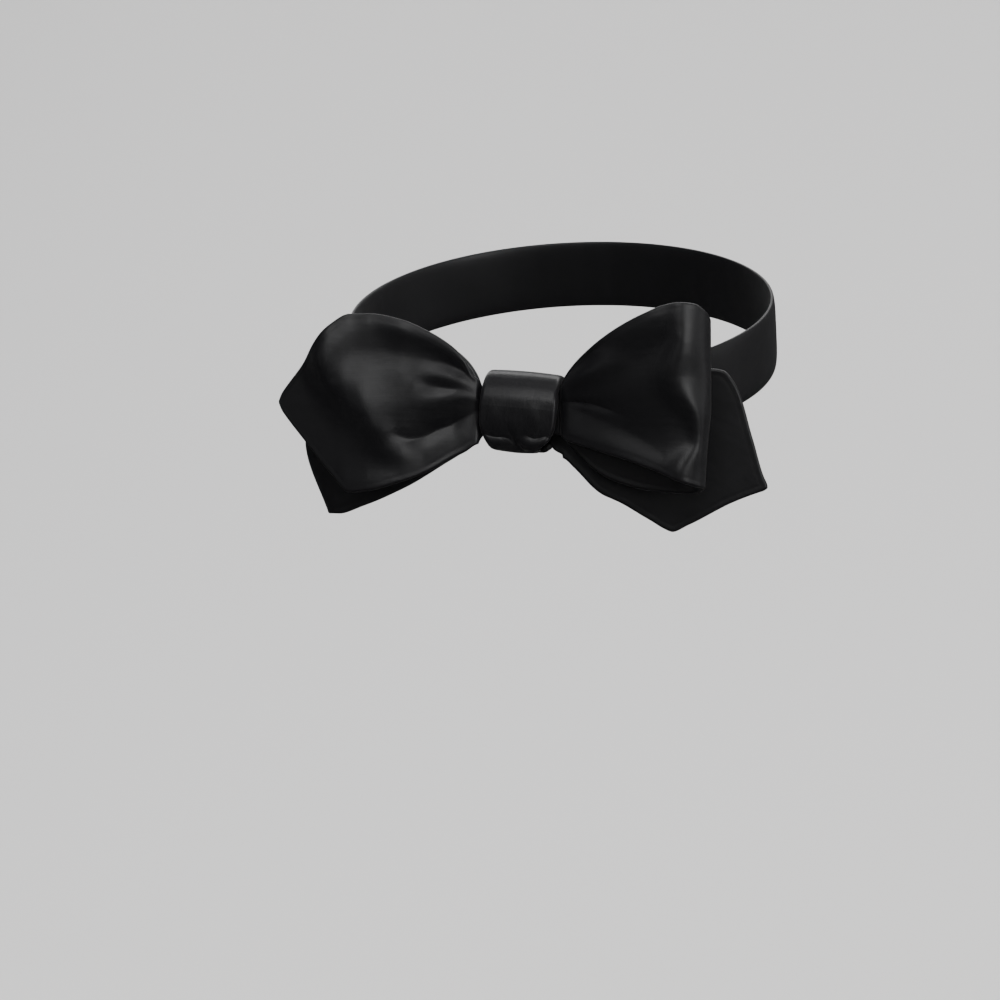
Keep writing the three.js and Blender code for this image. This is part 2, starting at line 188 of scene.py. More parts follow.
class Fold:
    """A ridge or furrow in cloth seen from the front. Each row has a place (x, z), how far the cloth is
    lifted towards the front there, and the fold's width to the left and right of its path, in millimetres.
    A sharpness of 2 is round, and one near 1 is a crease."""

    def __init__(self, name, sharpness, *rows):
        self.name = name
        self.sharpness = sharpness
        self.softness = float(np.clip(0.35 * np.array(rows)[:, 3:].min(), 0.25, 0.6))
        self.step = 0.8 * self.softness
        curve = smooth_path(rows)
        place = np.concatenate([[0], np.cumsum(np.hypot(*np.diff(curve[:, :2], axis=0).T))])
        even = np.arange(0, place[-1], self.step)
        self.path = np.stack([np.interp(even, place, column) for column in curve.T], axis=1)
        ways = np.gradient(self.path[:, :2], axis=0)
        self.ways = ways / np.linalg.norm(ways, axis=1, keepdims=True)

    def lift(self, x, z):
        """Lift at the places (x, z). Each point of the path counts by its distance to the power of -8."""
        total = np.zeros(x.shape)
        height, left, right, side = np.zeros((4, *x.shape))
        for point, way in zip(self.path, self.ways):
            off_x, off_z = x - point[0], z - point[1]
            square = off_x * off_x + off_z * off_z + self.softness**2
            weight = square**-4
            total += weight
            height += weight * point[2]
            left += weight * point[3]
            right += weight * point[4]
            side += weight * (way[0] * off_z - way[1] * off_x) / np.sqrt(square)
        distance = (total * self.step * 16 / (5 * math.pi)) ** (-1 / 7)
        width = mix(right, left, 0.5 + 0.5 * side / total) / total
        return height / total * np.exp(-((distance / width) ** self.sharpness))


def lift_of(folds, x, z):
    return sum((fold.lift(x, z) for fold in folds), np.zeros(np.broadcast(x, z).shape))


# Outlines of the pieces. Out is 0 at the knot's side and 1 at the far end, and the edges are shares of
# half the width.

FRONT_POINT = Table(
    "out top bottom forward",
    (0.015, 0.41, -0.38, 0.26),
    (0.05, 0.57, -0.44, 0.34),
    (0.11, 0.73, -0.51, 0.45),
    (0.23, 0.91, -0.67, 0.61),
    (0.365, 1.04, -0.79, 0.74),
    (0.51, 1.1, -0.88, 0.74),
    (0.615, 1.1, -0.9, 0.66),
    (0.705, 0.99, -0.72, 0.52),
    (0.86, 0.56, -0.32, 0.3),
    (0.97, 0.26, -0.02, 0.18),
    (1, 0.16, 0.08, 0.15),
)
REAR_POINT = Table(
    "out top bottom forward",
    (-0.3, 0.27, -0.43, 0),
    (0.01, 0.3, -0.52, 0),
    (0.07, 0.52, -0.57, -0.03),
    (0.18, 0.74, -0.62, -0.15),
    (0.35, 0.97, -0.66, -0.38),
    (0.51, 1.11, -0.75, -0.6),
    (0.63, 1.18, -0.81, -0.74),
    (0.7, 1.08, -0.67, -0.8),
    (0.86, 0.53, -0.27, -0.92),
    (0.97, 0.13, -0.05, -1),
    (1, 0.06, 0, -1),
)

# Edges of a loop's layers, along the strip from the fold at 0 to the knot's side at 1.
FRONT_LOOP_FRONT = Table(
    "along top bottom",
    (0, 0.98, -0.8),
    (0.1, 1.06, -0.79),
    (0.2, 1.12, -0.76),
    (0.3, 1.13, -0.71),
    (0.4, 1.1, -0.64),
    (0.5, 1.02, -0.57),
    (0.6, 0.92, -0.5),
    (0.7, 0.8, -0.44),
    (0.8, 0.66, -0.38),
    (0.9, 0.5, -0.33),
    (0.96, 0.37, -0.3),
)
FRONT_LOOP_BACK = Table(
    "along top bottom",
    (0, 0.98, -0.8),
    (0.15, 0.94, -0.85),
    (0.3, 0.91, -0.86),
    (0.5, 0.83, -0.83),
    (0.7, 0.65, -0.72),
    (0.8, 0.53, -0.61),
    (0.9, 0.4, -0.44),
    (0.96, 0.34, -0.35),
)
REAR_LOOP_FRONT = Table(
    "along top bottom",
    (0, 0.9, -1.08),
    (0.2, 0.95, -1.08),
    (0.4, 0.97, -0.98),
    (0.6, 0.92, -0.8),
    (0.8, 0.72, -0.54),
    (0.9, 0.55, -0.41),
    (0.96, 0.4, -0.34),
)
REAR_LOOP_BACK = Table(
    "along top bottom",
    (0, 0.9, -1.08),
    (0.2, 0.9, -1.06),
    (0.4, 0.91, -0.94),
    (0.6, 0.88, -0.76),
    (0.8, 0.71, -0.52),
    (0.9, 0.56, -0.4),
    (0.96, 0.41, -0.33),
)

# Shape of a loop seen from above, from its lower edge at -1 to its upper edge at 1.
FRONT_LOOP_PLAN = Table(
    "across reach round fold front back",
    (-1, 0.965, 0.6, -0.34, 0.6, 0.06),
    (-0.5, 0.98, 0.7, -0.36, 0.8, 0.04),
    (0, 1, 0.8, -0.42, 0.95, 0.02),
    (0.5, 1, 1, -0.48, 1, 0.02),
    (1, 1, 1, -0.5, 0.9, 0.02),
)
REAR_LOOP_PLAN = Table(
    "across reach round fold front back",
    (-1, 0.89, 0.8, 1.05, 0.1, 0.7),
    (-0.2, 1, 1, 1.15, 0.2, 0.8),
    (0.4, 0.98, 1, 1.1, 0.2, 0.8),
    (1, 0.9, 0.8, 1.05, 0.1, 0.7),
)

# Folds in millimetres from the knot's middle, for pieces of the default sizes.
FRONT_POINT_FOLDS = (
    Fold(
        "edge roll", 2,
        (-44, 25, 0, 2, 2.4),
        (-34, 23.2, 0.4, 2, 2.4),
        (-24, 20, 0.6, 1.8, 2.2),
        (-16, 14.6, 0.7, 1.6, 1.6),
        (-11, 9, 0.6, 1.4, 1.2),
        (-4, 5, 0.4, 1.2, 1.2),
    ),
    Fold(
        "edge furrow", 1.7,
        (-48, 17, 0, 5, 6),
        (-42, 16.6, -0.4, 5, 6),
        (-38, 16.4, -0.6, 5, 6),
        (-34, 16.2, -0.8, 4.4, 5),
        (-30, 15.5, -0.9, 4.2, 4.8),
        (-26, 14.6, -1.1, 4, 4.6),
        (-22, 13.4, -1.2, 3.4, 4),
        (-18, 12.2, -1.3, 2.8, 3.4),
        (-15, 11, -1.3, 2.2, 2.6),
        (-11, 7.6, -1, 1.6, 1.8),
        (-4, 4, -0.6, 1.4, 1.4),
    ),
    Fold(
        "middle ridge", 2,
        (-27, 10, 0, 3.4, 2),
        (-21, 9.8, 0.6, 2.6, 1.8),
        (-15.5, 8.4, 0.7, 1.8, 1.6),
        (-11, 6, 0.5, 1.3, 1.2),
    ),
    Fold(
        "small pit", 1.7,
        (-28, 7.4, 0, 3, 2.4),
        (-24.6, 7, -0.7, 2.9, 2.2),
        (-21.5, 6.5, -1, 2.8, 2),
        (-18.6, 6, -0.7, 2.2, 1.6),
        (-16.2, 5.8, -0.2, 1.6, 1.3),
    ),
    Fold(
        "narrow ridge", 2,
        (-28, 2, 0, 2.4, 2.4),
        (-20.5, 3.4, 0.4, 1.8, 1.8),
        (-16, 4.3, 0.6, 1.5, 1.5),
        (-11, 3.8, 0.4, 1, 1.2),
    ),
    Fold(
        "large pit", 1.3,
        (-33.4, -4.4, -0.2, 3, 3),
        (-31.6, -6.2, -1, 3.4, 2.6),
        (-28.8, -7.3, -1.9, 3.6, 2.8),
        (-25.4, -6.6, -2.6, 3.8, 3.2),
        (-22, -4.7, -3, 3.8, 3.8),
        (-18, -3.1, -3, 3.6, 4.6),
        (-15, -1.6, -2.8, 3.4, 4.6),
        (-11, 0.3, -2.3, 3.2, 3.4),
        (-4, 0.8, -1, 1.6, 1.6),
    ),
    Fold(
        "broad band", 2,
        (-38, 4, 0.4, 9, 5),
        (-34, 3, 0.5, 9, 5),
        (-30, 2.2, 0.6, 9, 5),
        (-26, 2.6, 0.7, 9, 4.6),
        (-21, 3.8, 0.4, 5, 4),
    ),
    Fold(
        "lobe swell", 2,
        (-51.6, 27, 1.6, 9, 4),
        (-53.6, 20, 2.6, 9, 4),
        (-52.6, 13.4, 2.4, 8, 4),
        (-49.5, 8.4, 1.2, 7, 4),
    ),
    Fold(
        "lower fold", 2,
        (-49, -16.5, 0, 5, 4),
        (-42, -20, 0.8, 5.4, 4),
        (-36, -20, 1.1, 5.4, 4),
        (-30, -17.6, 0.4, 4.4, 3.4),
        (-22, -13.4, 0, 4, 3.4),
        (-16, -9.8, 0.1, 3.4, 2.8),
        (-11, -7, 0.5, 2.4, 1.8),
        (-4, -4, 0.3, 1.4, 1.2),
    ),
    Fold(
        "under lip", 2,
        (-33, -18, 0, 5, 3),
        (-27, -15.6, -0.9, 6, 3),
        (-21, -12.6, -1.2, 6, 3),
        (-15, -9.4, -1, 5, 3),
        (-10.5, -6.6, -0.4, 3, 2),
    ),
    Fold(
        "shoulder", 1.7,
        (-49.4, 27, 1.4, 5, 3.4),
        (-51.8, 21, 2.6, 6.4, 3.2),
        (-52.4, 14.8, 3, 7, 3.6),
        (-50.8, 9.8, 3, 8, 4.2),
        (-47, 5.6, 3, 8.4, 4.6),
        (-43, 2.4, 3, 8, 5),
        (-39.4, -0.6, 3.1, 6.6, 5),
        (-37, -4.4, 3.1, 5.4, 4.8),
        (-35.2, -8, 2.1, 5.6, 4.6),
        (-32.2, -10.8, 1.2, 5, 4),
        (-29, -12.2, 0.4, 3.8, 3.4),
        (-25, -12.6, 0, 3.4, 3.4),
    ),
    Fold(
        "top curl", 2,
        (-54, 21, -0.8, 4, 5),
        (-48, 27.5, -1.4, 4, 6),
        (-40, 28.8, -1.6, 4, 6),
        (-32, 27.4, -1, 4, 5),
        (-24, 24, -0.3, 3, 4),
    ),
)
FRONT_LOOP_FOLDS = (
    Fold(
        "upper gather", 2,
        (4, 4, 0.3, 1.2, 1.2),
        (11.4, 6.4, 0.7, 1.6, 1.4),
        (17, 9.4, 0.9, 2.2, 1.8),
        (26, 12.4, 0.5, 3, 2.6),
        (33, 14, 0, 4, 3),
    ),
    Fold(
        "upper furrow", 1.8,
        (4, 3, -0.3, 1.2, 1.2),
        (11.6, 8.4, -0.7, 1.2, 1.2),
        (17, 13, -0.9, 1.6, 1.8),
        (24, 17, -0.5, 2, 2.4),
        (30, 19.6, 0, 3, 3),
    ),
    Fold(
        "long furrow", 1.35,
        (4, 1, -1, 1.8, 1.2),
        (11.4, 2, -1.5, 3.4, 2.8),
        (16, 0.8, -2, 8, 5.2),
        (22.3, -1.8, -2, 13, 7),
        (30.4, -5.2, -2.4, 17, 8.4),
        (36, -8.4, -2, 18, 9),
        (41, -12.6, -0.7, 16, 8),
    ),
    Fold(
        "tight crease", 1.6,
        (4, 0.6, -0.2, 0.7, 0.6),
        (11.4, 2.6, -0.7, 0.8, 0.7),
        (18, 2.6, -0.9, 1, 0.8),
        (24, 1.2, -0.6, 1.2, 1),
        (31, -1.6, 0, 1.6, 1.2),
    ),
    Fold(
        "lower fold", 2,
        (4, -3, 0.3, 1.4, 1.2),
        (12, -4.6, 0.3, 2, 1.6),
        (20, -7.4, 0.4, 3, 2.4),
        (31, -12, 0.5, 4, 3),
        (42, -16.8, 0.5, 4.4, 3),
        (48, -19, 0, 4, 3),
    ),
    Fold(
        "upper roll", 2,
        (19, 16, 0, 2, 4),
        (25, 19.6, 0.5, 2, 5),
        (32, 22.6, 0.9, 2.4, 5),
        (38, 25, 0.8, 3, 5),
        (44, 26.4, 0.2, 3, 5),
    ),
    Fold(
        "upper hollow", 2,
        (22, 9.5, 0, 4, 4),
        (28, 12, -0.8, 5.4, 5),
        (34, 14.4, -1.2, 6, 5.6),
        (40, 17, -1, 6, 5.6),
        (45, 19.4, 0, 5, 5),
    ),
    Fold(
        "roll crest", 2,
        (45, 29, 1, 5, 3),
        (45.6, 20, 2, 5, 3.2),
        (44.6, 16, 2.3, 5, 3.2),
        (43.4, 12.8, 2.3, 5, 3.6),
        (42.8, 9.6, 2.2, 5, 4),
        (44, 6.4, 2.2, 4.6, 3.8),
        (46.4, 3, 2.3, 4, 3.4),
        (48.4, 0, 2.4, 3.6, 2.8),
        (49.4, -3.5, 2.5, 3.6, 2.7),
        (49.6, -7, 2.5, 3.6, 2.7),
        (49, -10, 2.4, 3.6, 2.8),
        (46.4, -13.6, 2.2, 4, 3.2),
        (44.8, -16.5, 2.1, 4.4, 3.4),
        (45.6, -20, 1.8, 4, 3.4),
    ),
)
REAR_LOOP_FOLDS = (
    Fold(
        "upper furrow",
        1.7,
        (-44, 12, 0, 4, 4),
        (-26, 8.4, -0.8, 3, 3),
        (-12, 3.4, -1, 1.6, 1.6),
        (-4, 2, -0.4, 1.2, 1.2),
    ),
    Fold(
        "lower furrow",
        1.7,
        (-46, -12, 0, 4, 4),
        (-28, -7, -1, 3, 3),
        (-12, -2.4, -1.1, 1.6, 1.6),
        (-4, -1, -0.4, 1.2, 1.2),
    ),
)
REAR_POINT_FOLDS = (
    Fold(
        "furrow",
        1.8,
        (4, 0, -0.3, 1.4, 1.4),
        (14, -1.6, -0.6, 2.4, 2.4),
        (26, -6, -0.5, 4, 4),
        (40, -11, 0, 5, 5),
    ),
    Fold(
        "lower gather",
        2,
        (4, -4, 0.2, 1.2, 1.2),
        (14, -8.6, 0.4, 2, 2),
        (28, -16, 0.3, 3, 3),
        (38, -22, 0, 4, 4),
    ),
)

# The knot's wrap in section: depth behind and height, as shares of half its depth and half its height.
KNOT_SECTION = (
    (-1, 0.12),
    (-0.995, 0.25),
    (-0.982, 0.34),
    (-0.955, 0.42),
    (-0.915, 0.49),
    (-0.86, 0.56),
    (-0.78, 0.64),
    (-0.66, 0.74),
    (-0.53, 0.84),
    (-0.36, 0.925),
    (-0.1, 0.98),
    (0.3, 1),
    (0.7, 0.95),
    (0.95, 0.72),
    (1, 0.3),
    (1, -0.3),
    (0.92, -0.8),
    (0.6, -0.97),
    (0.1, -1),
    (-0.4, -0.99),
    (-0.68, -0.93),
    (-0.83, -0.8),
    (-0.9, -0.61),
    (-0.955, -0.31),
    (-0.99, 0),
)
# How far the wrap's left and right edges draw in towards its middle, at shares of half its height.
KNOT_EDGES = Table(
    "height left right",
    (-1, 0.4, 0.56),
    (-0.85, 0.26, 0.36),
    (-0.65, 0.1, 0.12),
    (-0.35, 0.02, 0.02),
    (0.2, 0, 0),
    (0.7, 0, 0.045),
    (1, 0.03, 0.05),
)
KNOT_FOLDS = (
    Fold(
        "middle crease",
        1.2,
        (-2.6, -2.6, 0, 1, 1),
        (-1.8, -5, -0.5, 1.4, 1),
        (-0.2, -7.4, -1.1, 1.6, 1),
        (2.4, -10.6, -1.3, 1.6, 1),
    ),
    Fold(
        "tuck crease",
        1.2,
        (-9, -6.4, -0.3, 1, 0.8),
        (-6, -7, -0.7, 1.2, 0.9),
        (-2.4, -7, -0.8, 1.3, 1),
        (0, -8.6, -0.3, 1, 0.8),
    ),
    Fold(
        "right facet",
        1.5,
        (1.2, -7.2, 0.3, 1, 1.2),
        (4, -8.2, 1, 1.4, 1.6),
        (7, -7.6, 1.1, 1.4, 1.6),
        (10, -6.4, 0.6, 1, 1.2),
    ),
    Fold(
        "right crease",
        1.3,
        (2.4, -5.6, -0.1, 1, 0.7),
        (5, -6.8, -0.5, 1.1, 0.7),
        (8, -6.2, -0.6, 1.1, 0.7),
        (10.4, -5, -0.4, 1, 0.7),
    ),
    Fold(
        "left facet",
        1.6,
        (-10, -7.6, 0.4, 1, 1.2),
        (-7, -8.6, 0.8, 1.2, 1.4),
        (-4.4, -8.4, 0.5, 1.2, 1.4),
    ),
    Fold(
        "left swelling",
        2,
        (-6.4, 3, 0, 2, 2),
        (-6, -1, 0.25, 2, 2),
        (-5.4, -5, 0, 1.6, 1.6),
    ),
    Fold(
        "right swelling",
        2,
        (4.6, 3, 0, 1.6, 2.2),
        (5, -1, 0.35, 1.6, 2.2),
        (5.6, -5, 0, 1.4, 2),
    ),
)


class Layout:
    """Sizes in millimetres, and where the layers of cloth lie in the knot, from its middle."""

    def __init__(self, sizes):
        self.sizes = sizes
        self.knot_half = self.mm("knot_width") / 2
        self.roll = sizes.knot_roll
        half_height = self.mm("knot_height") / 2
        wall, gap, cloth = self.mm("knot_wall"), self.mm("clearance"), self.mm("cloth_thickness")
        band = self.mm("band_thickness")
        self.side = self.knot_half * math.cos(self.roll) + half_height * math.sin(self.roll)
        self.mouth = half_height - wall - 0.9 - self.knot_half * math.sin(self.roll) - gap
        self.ring_width = self.mm("neck_half_width") + band / 2
        self.ring_depth = self.mm("neck_half_depth") + band / 2
        pleats = 0.7 * self.mm("fold_depth")
        sag = self.ring_depth * (1 - math.sqrt(1 - (self.side / self.ring_width) ** 2))
        self.room = pleats + 3 * cloth + band + sag + 5 * gap
        self.front = -self.room / 2 + gap + (pleats + cloth) / 2
        self.middle = self.front + (pleats + cloth) / 2 + gap + cloth / 2
        self.rear = self.middle + cloth + gap
        self.band = self.rear + cloth / 2 + gap + band / 2
        tilt = sizes.band_tilt
        forward, down = self.ring_depth * math.cos(tilt), self.ring_depth * math.sin(tilt)
        self.centre = np.array([0, -forward - self.band, -down])

    def mm(self, name):
        return getattr(self.sizes, name) / MILLIMETRE

    def edge_share(self, width):
        return self.mouth / (width / 2)

    def held(self, lift, x, slot, press):
        """Height of folds, which the knot keeps low where it presses on the front layer of cloth."""
        limit = mix(-press, 6, ease(np.abs(x), self.side - 0.2, self.side + 3.6))
        return np.where(slot == self.front, np.minimum(lift, limit), lift)


# Meshes


def new_object(name, mesh, material):
    mesh.materials.append(material)
    mesh.polygons.foreach_set("use_smooth", np.ones(len(mesh.polygons), bool))
    piece = bpy.data.objects.new(name, mesh)
    bpy.context.scene.collection.objects.link(piece)
    return piece


def signed_volume(points, quads):
    a, b, c, d = (points[quads[:, k]] for k in range(4))
    return float((np.cross(a, b) * c).sum() + (np.cross(a, c) * d).sum())


def cloth_piece(name, middle, half, material, closed=False):
    """Closed mesh of cloth from a grid of its middle surface and half its thickness at each point, in
    millimetres. Its UV map has both lengths, along and across the cloth, in units of 0.4 m."""
    rows, columns = half.shape
    around = np.concatenate([middle[-1:], middle, middle[:1]]) if closed else middle
    along_way = np.gradient(around, axis=0)[1:-1] if closed else np.gradient(around, axis=0)
    normal = np.cross(along_way, np.gradient(middle, axis=1))
    normal /= np.maximum(np.linalg.norm(normal, axis=2, keepdims=True), 1e-9)
    front = (middle + normal * half[..., None]).reshape(-1, 3)
    back = (middle - normal * half[..., None]).reshape(-1, 3)

    whole = np.concatenate([middle, middle[:1]]) if closed else middle
    steps_along = np.linalg.norm(np.diff(whole, axis=0), axis=2)
    steps_across = np.linalg.norm(np.diff(whole, axis=1), axis=2)
    u = np.concatenate([np.zeros((1, columns)), np.cumsum(steps_along, axis=0)])
    u = np.broadcast_to(u.mean(axis=1, keepdims=True), u.shape)
    v = np.concatenate([np.zeros((len(whole), 1)), np.cumsum(steps_across, axis=1)], axis=1)
    v = v - v[:, -1:] / 2 + 60

    strips = rows if closed else rows - 1
    i, j = (k.ravel() for k in np.meshgrid(np.arange(strips), np.arange(columns - 1), indexing="ij"))

    def index(a, b):
        return (a % rows) * columns + b

    quads, places = [], []

    def add(corners, spots):
        quads.append(np.stack(corners, axis=-1))
        places.append(np.stack([np.stack([u[a, b], v[a, b]], axis=-1) for a, b in spots], axis=1))

    shift = rows * columns
    spots = ((i, j), (i + 1, j), (i + 1, j + 1), (i, j + 1))
    add([index(a, b) for a, b in spots], spots)
    add([index(a, b) + shift for a, b in spots[::-1]], spots[::-1])
    k = np.arange(strips)
    for column, flip in ((0, False), (columns - 1, True)):
        edge = np.full(strips, column)
        spots = ((k, edge), (k, edge), (k + 1, edge), (k + 1, edge))
        near, far = index(k, edge), index(k + 1, edge)
        corners = [near, near + shift, far + shift, far]
        add(corners[::-1] if flip else corners, spots[::-1] if flip else spots)
    if not closed:
        k = np.arange(columns - 1)
        for row, flip in ((0, True), (rows - 1, False)):
            edge = np.full(columns - 1, row)
            spots = ((edge, k), (edge, k), (edge, k + 1), (edge, k + 1))
            near, far = index(edge, k), index(edge, k + 1)
            corners = [near, near + shift, far + shift, far]
            add(corners[::-1] if flip else corners, spots[::-1] if flip else spots)
    quads, places = np.concatenate(quads), np.concatenate(places)
    points = np.concatenate([front, back])
    if signed_volume(points, quads) < 0:
        quads, places = quads[:, ::-1], places[:, ::-1]

    mesh = bpy.data.meshes.new(name)
    mesh.vertices.add(len(points))
    mesh.vertices.foreach_set("co", (points * MILLIMETRE).ravel())
    mesh.loops.add(quads.size)
    mesh.loops.foreach_set("vertex_index", quads.ravel())
    mesh.polygons.add(len(quads))
    mesh.polygons.foreach_set("loop_start", np.arange(len(quads)) * 4)
    mesh.uv_layers.new(name="UVMap").data.foreach_set("uv", (places / 400).ravel())
    mesh.update()
    mesh.validate()
    return new_object(name, mesh, material)


def sewn_half_thickness(distance, cloth, edge=0.7):
    """Half the cloth's thickness at a distance from its sewn edge, a roll with a groove inside it."""
    roll = np.sqrt(np.clip(1 - (1 - np.clip(distance / edge, 0, 1)) ** 2, 0, 1))
    groove = 0.045 * np.exp(-(((distance - 1.7) / 0.5) ** 2))
    return np.maximum(cloth / 2 * roll * (1 - groove), 0.04)


def outline_distance(x, z, outline):
    """Distance of the places (x, z) from a line of points."""
    nearest = np.full(x.shape, np.inf)
    for start, end in zip(outline[:-1], outline[1:]):
        way = end - start
        share = np.clip(((x - start[0]) * way[0] + (z - start[1]) * way[1]) / max(way @ way, 1e-12), 0, 1)
        nearest = np.minimum(nearest, np.hypot(x - start[0] - way[0] * share, z - start[1] - way[1] * share))
    return nearest


def edge_distance(middle):
    """Distance of each point of a grid from the nearer side of the cloth."""
    steps = np.linalg.norm(np.diff(middle, axis=1), axis=2)
    lower = np.concatenate([np.zeros((len(middle), 1)), np.cumsum(steps, axis=1)], axis=1)
    return np.minimum(lower, lower[:, -1:] - lower)


def crowded(count, share=0.7):
    """Places from -1 to 1 that lie closer together at both ends."""
    even = np.linspace(-1, 1, count)
    return mix(even, np.sin(even * math.pi / 2), share)


def pointed_end(layout, name, side, table, folds, reach, width, slot, puff, turn, scale, material):
    cloth = layout.mm("cloth_thickness")
    edge = layout.edge_share(width)
    table = table.with_rows(first=((-1, edge, -edge, 0), (table.key[0] - 0.1, edge, -edge, 0)))
    free = (crowded(260, 0.5) + 1) / 2
    out = np.concatenate([np.linspace(-1, 0, 18)[:-1], free])[:, None]
    across = crowded(132)[None, :]
    held = mix(layout.mm("clearance") / 2, layout.side, 1 + out)
    span = np.where(out < 0, held, mix(layout.side, reach, out))
    top, bottom = (table.at(out, column) * width / 2 for column in ("top", "bottom"))
    tip = np.sqrt(np.clip(1 - (np.clip(out - 0.98, 0, 1) / 0.02) ** 2, 0, 1))
    centre = (top + bottom) / 2
    height = centre + (top - bottom) / 2 * tip * across
    angle = turn * ease(out, -0.1, 0.3)
    x = side * (span * np.cos(angle) + height * np.sin(angle))
    z = height * np.cos(angle) - span * np.sin(angle)
    settle = mix(0.35, 1, ease(np.abs(x), layout.side, layout.side + 7))
    lift = layout.held(lift_of(folds, x * scale[0], z * scale[1]) * settle, x, slot, 0.6)
    depth = slot - table.at(out, "forward") * puff - lift
    middle = np.stack([x, depth + 0 * z, z], axis=2)
    outline = np.concatenate([middle[:, 0], middle[-1], middle[::-1, -1]])[:, [0, 2]][::2]
    distance = outline_distance(x, z, outline)
    distance[out[:, 0] < 0] = edge_distance(middle)[out[:, 0] < 0]
    return cloth_piece(name, middle + layout.centre, sewn_half_thickness(distance, cloth), material)


def bezier(a, b, c, d, p):
    q = 1 - p
    return q**3 * a + 3 * q * q * p * b + 3 * q * p * p * c + p**3 * d


def folded_loop(
    layout,
    name,
    side,
    front,
    back,
    plan,
    front_folds,
    back_folds,
    reach,
    height,
    puff,
    roundness,
    slots,
    scale,
    material,
):
    cloth = layout.mm("cloth_thickness")
    edge = layout.edge_share(height)
    front, back = (table.with_rows(last=((1, edge, -edge),)) for table in (front, back))
    free = (crowded(150, 0.35) + 1) / 2
    layer = np.concatenate([free, np.linspace(1, 1.2, 12)[1:]])
    along = np.concatenate([-layer[:0:-1], layer])[:, None]
    across = crowded(112)[None, :]
    in_front = along > 0
    p = np.minimum(np.abs(along), 1)
    reach_here = plan.at(across, "reach") * reach
    handle = mix(layout.side, reach, 0.28)
    turn = np.sqrt(plan.at(across, "round") * roundness * (reach_here - handle) / 1.5)
    slot = np.where(in_front, slots[0], slots[1])
    way = np.where(in_front, -1, 1)
    fold = plan.at(across, "fold") * puff
    swell = slot + way * np.where(in_front, plan.at(across, "front"), plan.at(across, "back")) * puff
    span = bezier(reach_here, reach_here, handle, layout.side, p)
    depth = bezier(fold, fold + way * turn, swell, slot, p)
    inside = np.clip((np.abs(along) - 1) / 0.2, 0, 1)
    span = np.where(inside > 0, mix(layout.side, layout.mm("clearance") / 2, inside), span)
    top, bottom = (
        np.where(in_front, front.at(p, column), back.at(p, column)) * height / 2
        for column in ("top", "bottom")
    )
    z = mix(bottom, top, (across + 1) / 2)
    x = side * span
    settle = mix(0.35, 1, ease(span, layout.side, layout.side + 7)) * ease(p, 0, 0.12)
    lift = np.where(
        in_front,
        lift_of(front_folds, x * scale[0], z * scale[1]),
        -lift_of(back_folds, x * scale[0], z * scale[1]),
    )
    middle = np.stack([x, depth - layout.held(lift * settle, x, slot, 1), z], axis=2)
    half = sewn_half_thickness(edge_distance(middle), cloth)
    return cloth_piece(name, middle + layout.centre, half, material)


def knot_wrap(layout, name, material):
    wall = layout.mm("knot_wall")
    half_depth = layout.room / 2 + wall / 2
    half_height = layout.mm("knot_height") / 2 - wall / 2
    loop = smooth_path([*KNOT_SECTION, KNOT_SECTION[0]], steps=16)[:-1]
    along = crowded(120)[None, :]
    y, z = loop[:, :1] * half_depth, loop[:, 1:] * half_height
    share = loop[:, 1:]
    inset = np.where(along < 0, KNOT_EDGES.at(share, "left"), KNOT_EDGES.at(share, "right"))
    x = along * layout.knot_half * (1 - inset * np.where(loop[:, :1] < 0.6, 1, 0.7))
    ways = np.roll(loop, -1, axis=0) - np.roll(loop, 1, axis=0)
    outward = np.stack([ways[:, 1] * half_height, -ways[:, 0] * half_depth], axis=1)
    outward /= np.linalg.norm(outward, axis=1, keepdims=True)
    outward *= np.sign((outward * loop).sum())
    facing = ease(-outward[:, :1], -0.1, 0.5)
    lift = lift_of(KNOT_FOLDS, x, z + 0 * x) * facing
    crown = 0.35 * (1 - along**2) - ease(np.abs(along), 0.9, 1)
    roll = np.sqrt(np.clip(1 - (1 - np.clip((1 - np.abs(along)) * layout.knot_half / 1.1, 0, 1)) ** 2, 0, 1))
    outer = lift + crown + wall / 2 * roll
    inner = np.maximum(lift + crown - wall / 2 * roll, -wall / 2)
    half = np.maximum((outer - inner) / 2, 0.05)
    shift = outer - half
    middle = np.stack(
        [x, y + outward[:, :1] * shift, z + outward[:, 1:] * (shift - lift * 0.4)], axis=2
    )
    cosine, sine = math.cos(layout.roll), math.sin(layout.roll)
    turned = np.stack(
        [
            middle[..., 0] * cosine + middle[..., 2] * sine,
            middle[..., 1],
            middle[..., 2] * cosine - middle[..., 0] * sine,
        ],
        axis=2,
    )
    return cloth_piece(name, turned + layout.centre, half, material, closed=True)


# Nodes


class Number:
    """A node's socket that adds and multiplies as a number does."""

    def __init__(self, tree, socket):
        self.tree = tree
        self.socket = socket

    def math(self, operation, *others):
        node = self.tree.nodes.new("ShaderNodeMath")
        node.operation = operation
        for slot, value in zip(node.inputs, (self, *others)):
            if isinstance(value, Number):
                self.tree.links.new(value.socket, slot)
            else:
                slot.default_value = value
        return Number(self.tree, node.outputs[0])

    def __add__(self, other):
        return self.math("ADD", other)

    __radd__ = __add__

    def __mul__(self, other):
        return self.math("MULTIPLY", other)

    __rmul__ = __mul__

    def __sub__(self, other):
        return self.math("SUBTRACT", other)

    def __rsub__(self, other):
        return (self * -1) + other

    def __truediv__(self, other):
        return self.math("DIVIDE", other)


